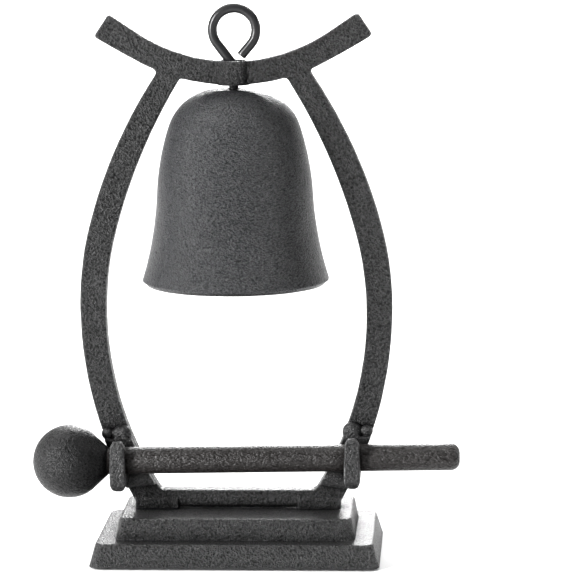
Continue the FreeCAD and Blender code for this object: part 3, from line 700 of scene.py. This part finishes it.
def turned_along(profile, count):
    """Turn (distance along the handle, radius) pairs, in mm, about the handle's axis."""
    up = Vector((-math.sin(tilt), 0, math.cos(tilt)))
    depth = Vector((0, 1, 0))
    rings = []
    for distance, radius in profile:
        centre = rod_origin + along * distance
        rings.append([(centre + (up * math.cos(2 * math.pi * i / count)
                                 - depth * math.sin(2 * math.pi * i / count)) * radius) * MM
                      for i in range(count)])
    return skin_of_rings(rings)


# %% Ball and handle
BALL_R, BALL_AT, NECK_LEAN, NECK_END = 19.75, -90.4, math.radians(42.0), -69.5
BALL_BACK = math.radians(179.2)              # the turning starts just off the pole
ball = []
for i in range(61):
    angle = BALL_BACK + (math.radians(90) - NECK_LEAN - BALL_BACK) * i / 60
    ball.append((BALL_AT + BALL_R * math.cos(angle), BALL_R * math.sin(angle)))
start_x, start_r = ball[-1]
neck_r = start_r - (NECK_END - start_x) * math.tan(NECK_LEAN)
for i in range(1, 11):
    ball.append((start_x + (NECK_END - 0.7 - start_x) * i / 10, start_r + (neck_r + 0.5 - start_r) * i / 10))
ball += [(NECK_END - 0.25, neck_r + 0.05), (NECK_END, neck_r - 0.5), (NECK_END, 7.9), (NECK_END - 0.4, 7.45)]
mallet_ball = piece_from("mallet_ball", *turned_along(ball, 128), ball_coat, "mallet", "mallet_head")
cast_skin(mallet_ball, depth=0.05, span=10)

rod_start, rod_end, ROD_ROUND = -70.5, rod_high.x / math.cos(tilt), 5.0
rod = [(rod_start + (rod_end - ROD_ROUND - rod_start) * i / 130, ROD_R) for i in range(131)]
for i in range(1, 12):
    angle = math.radians(90 * i / 11)
    rod.append((rod_end - ROD_ROUND + ROD_ROUND * math.sin(angle), ROD_R - ROD_ROUND * (1 - math.cos(angle))))
rod.append((rod_end + 0.02, 0.8))
handle = piece_from("mallet_rod", *turned_along(rod, 72), rod_coat, "mallet", "mallet_handle")
cast_skin(handle, depth=0.04, span=14)
print("ball and handle faces:", len(mallet_ball.data.polygons), len(handle.data.polygons))

# %% [markdown]
# ## Screws, nut and pads
#
# The hardware is plain bright-zinc steel from a shop: two hexagon screws with
# split washers under the base, two slotted screws behind the hooks, and the
# nut and washer inside the bell. Their drawn shapes are already right, so they
# stay and only get a metal with fine brushed scratches. The felt pads are
# pressed wool, so their edges are soft and they get a fibre bump.

# %% Zinc and felt
def zinc(name):
    steel = bpy.data.materials.new(name)
    steel.use_nodes = True
    tree = steel.node_tree
    shader = tree.nodes["Principled BSDF"]
    shader.inputs["Metallic"].default_value = 1.0
    place = tree.nodes.new("ShaderNodeTexCoord")
    clouds = add(tree, "TexNoise", Scale=240.0, Detail=4.0)
    scratches = add(tree, "TexNoise", Scale=2600.0, Detail=2.0)
    for texture in (clouds, scratches):
        tree.links.new(place.outputs["Object"], texture.inputs["Vector"])
    tint = tree.nodes.new("ShaderNodeValToRGB")
    tint.color_ramp.elements[0].color = (0.36, 0.37, 0.39, 1)
    tint.color_ramp.elements[1].color = (0.56, 0.56, 0.54, 1)
    tree.links.new(clouds.outputs["Fac"], tint.inputs["Fac"])
    tree.links.new(tint.outputs["Color"], shader.inputs["Base Color"])
    dull = add(tree, "MapRange", To_Min=0.26, To_Max=0.48)
    tree.links.new(clouds.outputs["Fac"], dull.inputs["Value"])
    tree.links.new(dull.outputs[0], shader.inputs["Roughness"])
    bump = add(tree, "Bump", Strength=1.0, Distance=0.008 * MM)
    tree.links.new(scratches.outputs["Fac"], bump.inputs["Height"])
    tree.links.new(bump.outputs["Normal"], shader.inputs["Normal"])
    return steel


def pressed_felt(name):
    felt = bpy.data.materials.new(name)
    felt.use_nodes = True
    tree = felt.node_tree
    shader = tree.nodes["Principled BSDF"]
    shader.inputs["Roughness"].default_value = 0.95
    place = tree.nodes.new("ShaderNodeTexCoord")
    fibre = add(tree, "TexNoise", Scale=1800.0, Detail=5.0, Roughness=0.7, Distortion=1.5)
    tree.links.new(place.outputs["Object"], fibre.inputs["Vector"])
    tint = tree.nodes.new("ShaderNodeValToRGB")
    tint.color_ramp.elements[0].color = (0.012, 0.012, 0.013, 1)
    tint.color_ramp.elements[1].color = (0.06, 0.06, 0.062, 1)
    tree.links.new(fibre.outputs["Fac"], tint.inputs["Fac"])
    tree.links.new(tint.outputs["Color"], shader.inputs["Base Color"])
    bump = add(tree, "Bump", Strength=1.0, Distance=0.12 * MM)
    tree.links.new(fibre.outputs["Fac"], bump.inputs["Height"])
    tree.links.new(bump.outputs["Normal"], shader.inputs["Normal"])
    return felt


bright_zinc = zinc("bright_zinc")
wool_felt = pressed_felt("wool_felt")
for node, piece in frame["nodes"].items():
    if SLOT_OF[node] == "bare_steel":
        for place in piece.material_slots:
            place.material = bright_zinc
        print(node, "in bright zinc,", len(piece.material_slots), "slot")

# %% Felt pads
felt_profile = [(0.2, 0.0), (pad_r - 0.45, 0.0), (pad_r - 0.1, 0.15), (pad_r, 0.5), (pad_r - 0.08, 0.8),
                (pad_r - 0.3, 0.98), (0.2, 1.0)]
for side_name, sx in (("left", -1), ("right", 1)):
    for end_name, sy in (("front", -1), ("back", 1)):
        node = f"foot_pad_{end_name}_{side_name}"
        centre = Vector((sx * pad_x, sy * pad_y, 0)) * MM
        piece_from(f"felt_{end_name}_{side_name}", *turned(felt_profile, 48, centre),
                   wool_felt, "stand", node)
print("four felt pads, radius", round(pad_r, 2), "mm")
